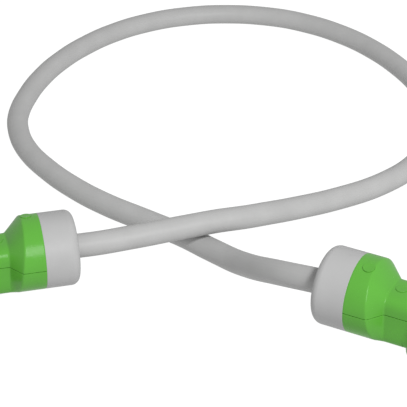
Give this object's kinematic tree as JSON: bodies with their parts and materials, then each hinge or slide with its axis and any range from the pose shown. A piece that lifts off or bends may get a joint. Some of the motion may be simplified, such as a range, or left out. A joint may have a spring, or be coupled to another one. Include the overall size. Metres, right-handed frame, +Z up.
{
  "type": "power adapter dogbone",
  "caption": "Thick power adapter cable laid in one loop, with a right-angle male plug on one end and a right-angle female connector on the other, each a two-part shell behind a round collar.",
  "frame": {"origin": "centre of the two heads' bounding box, on the surface that they stand on", "axes": "+X from the connector to the plug, +Y towards the cable's loop, +Z up"},
  "size_m": [0.4065, 0.5842, 0.0755],
  "materials": {
    "cable_jacket": "satin",
    "green_shell": "satin",
    "green_caps": "satin",
    "grey_collar": "satin",
    "rubber": "matte",
    "clamp_plastic": "matte",
    "dark_insulator": "satin",
    "brass_contact": "bright",
    "plated_prong": "nickel plated",
    "steel_screws": "zinc plated",
    "black_insulation": "satin",
    "white_insulation": "satin",
    "green_insulation": "satin"
  },
  "bodies": {
    "root": {"cable": "cable_jacket", "plug_upper_shell": "green_shell", "plug_lower_shell": "green_shell", "plug_collar": "grey_collar", "plug_grommet": "rubber", "plug_cord_clamp": "clamp_plastic", "plug_clamp_screws": "steel_screws", "plug_prong_block": "dark_insulator", "plug_hot_blade": "brass_contact", "plug_neutral_blade": "plated_prong", "plug_ground_pin": "plated_prong", "plug_terminal_screws": "steel_screws", "plug_shell_screws": "steel_screws", "plug_screw_caps": "green_caps", "plug_hot_wire": "black_insulation", "plug_neutral_wire": "white_insulation", "plug_ground_wire": "green_insulation", "socket_upper_shell": "green_shell", "socket_lower_shell": "green_shell", "socket_collar": "grey_collar", "socket_grommet": "rubber", "socket_cord_clamp": "clamp_plastic", "socket_clamp_screws": "steel_screws", "socket_contact_block": "dark_insulator", "socket_hot_contact_a": "brass_contact", "socket_hot_contact_b": "brass_contact", "socket_neutral_contact": "brass_contact", "socket_ground_contact": "brass_contact", "socket_hot_link": "brass_contact", "socket_terminal_screws": "steel_screws", "socket_shell_screws": "steel_screws", "socket_screw_caps": "green_caps", "socket_hot_wire": "black_insulation", "socket_neutral_wire": "white_insulation", "socket_ground_wire": "green_insulation"}
  },
  "joints": []
}
